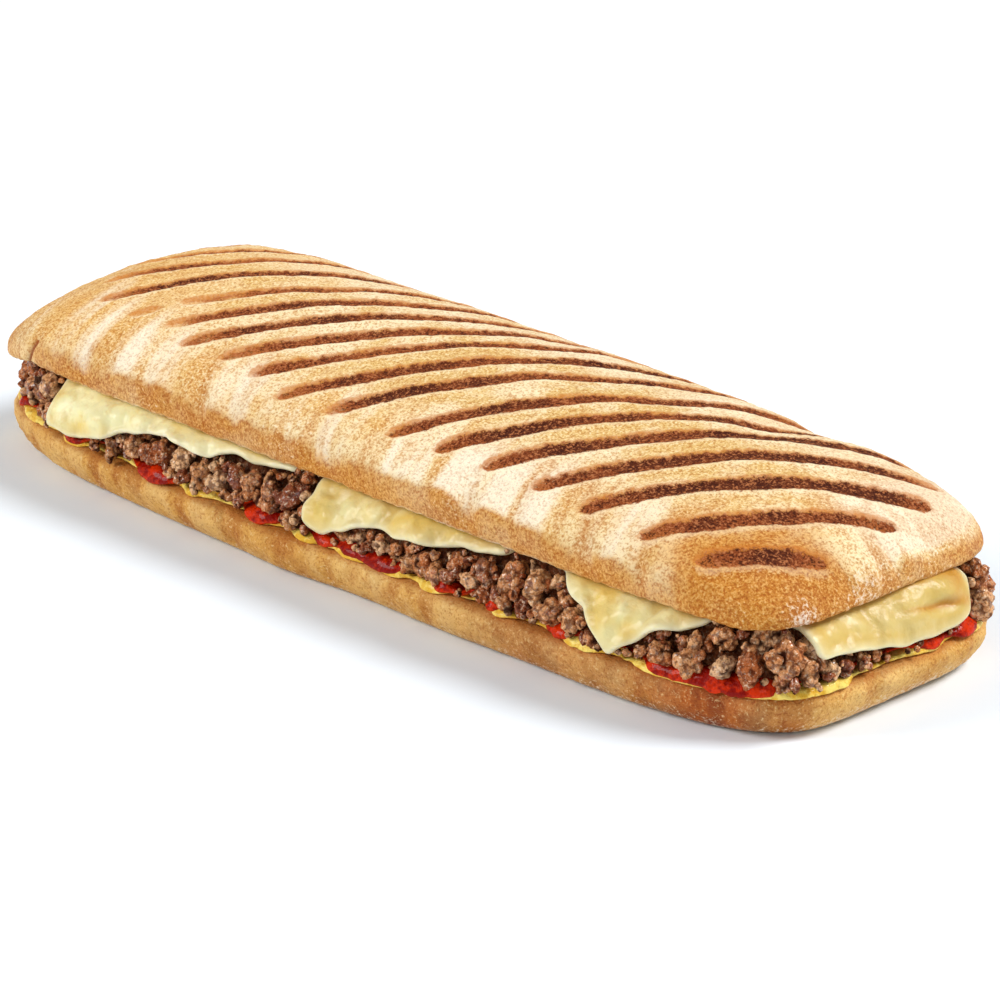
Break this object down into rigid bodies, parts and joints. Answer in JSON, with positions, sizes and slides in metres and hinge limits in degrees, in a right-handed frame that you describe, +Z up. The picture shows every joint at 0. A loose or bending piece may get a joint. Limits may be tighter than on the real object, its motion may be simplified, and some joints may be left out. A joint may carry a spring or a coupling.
{
  "type": "panini",
  "caption": "Long grilled panini with slanted grill marks, filled with minced beef, sliced cheese, tomato sauce and yellow sauce.",
  "frame": {"origin": "middle of the footprint, on the surface that the panini rests on", "axes": "+X along the length, towards the end with the overhanging cheese slice; +Y to the back; +Z up"},
  "size_m": [0.2831, 0.0985, 0.0491],
  "materials": {
    "upper_crust": "matte",
    "lower_crust": "matte",
    "beef": "satin",
    "cheese": "satin",
    "tomato_sauce": "gloss",
    "yellow_sauce": "gloss"
  },
  "bodies": {
    "root": {"top_bread": "upper_crust", "bottom_bread": "lower_crust", "minced_beef": "beef", "cheese_slice_1": "cheese", "cheese_slice_2": "cheese", "cheese_slice_3": "cheese", "cheese_slice_4": "cheese", "tomato_sauce": "tomato_sauce", "yellow_sauce": "yellow_sauce"}
  },
  "joints": []
}
